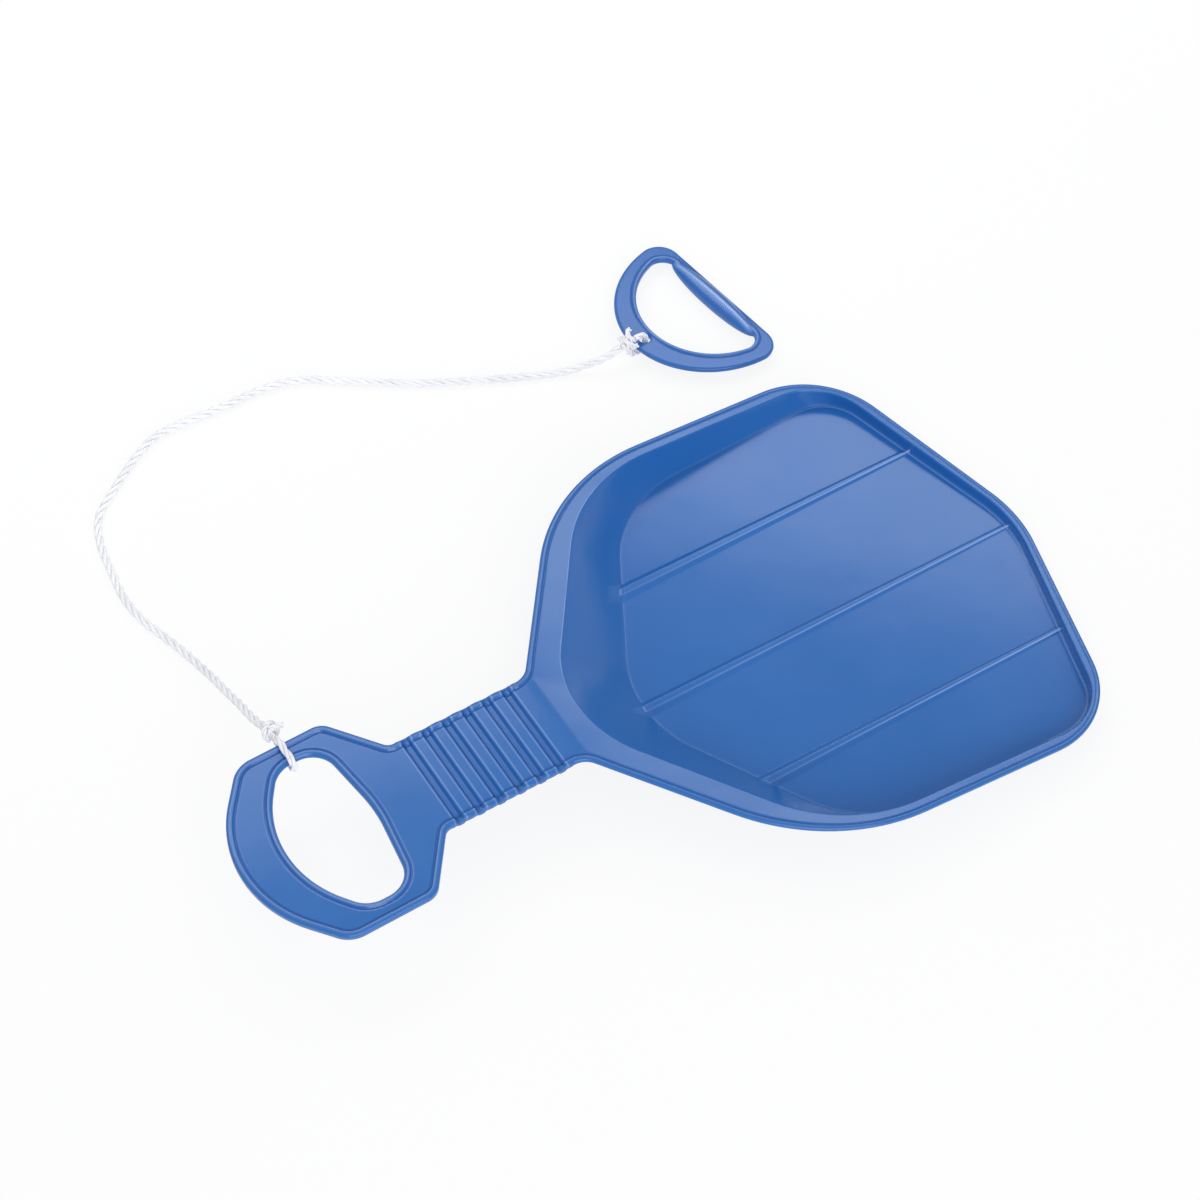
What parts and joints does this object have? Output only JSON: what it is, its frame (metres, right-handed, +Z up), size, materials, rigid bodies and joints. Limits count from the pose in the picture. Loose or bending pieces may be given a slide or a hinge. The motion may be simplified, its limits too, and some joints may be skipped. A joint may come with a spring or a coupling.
{
  "type": "snow sled",
  "caption": "Child's moulded snow sled: a shallow six-sided pan, a grooved neck and a ring handle, with a tied tow rope and a D-shaped pull grip.",
  "frame": {"origin": "on the pan's flat underside, on the sled's centreline, near the middle of the pan", "axes": "+Z up, +Y to the sled's rear, +X to its right; the ring handle is at -Y, and the rope and its grip lie on the -X side"},
  "size_m": [0.5584, 0.5993, 0.055],
  "materials": {
    "blue_plastic": "satin moulded plastic",
    "grip_plastic": "satin moulded plastic",
    "white_rope": "three-strand twisted cord"
  },
  "bodies": {
    "sled": {"sled_shell": "blue_plastic", "handle_eye": "white_rope", "handle_knot": "white_rope"},
    "rope": {"tow_rope": "white_rope", "grip_eye": "white_rope", "grip_knot": "white_rope"},
    "grip": {"pull_grip": "grip_plastic"}
  },
  "joints": [
    {"name": "rope_lift", "type": "hinge", "parent": "sled", "child": "rope", "pos_m": [-0.0885, -0.342, 0.0465], "axis": [0, 1, 0], "range_deg": [0, 90]},
    {"name": "grip_tilt", "type": "hinge", "parent": "rope", "child": "grip", "pos_m": [-0.26684, 0.04943, 0.011], "axis": [0.9898, 0.1426, 0], "range_deg": [0, 75]}
  ]
}
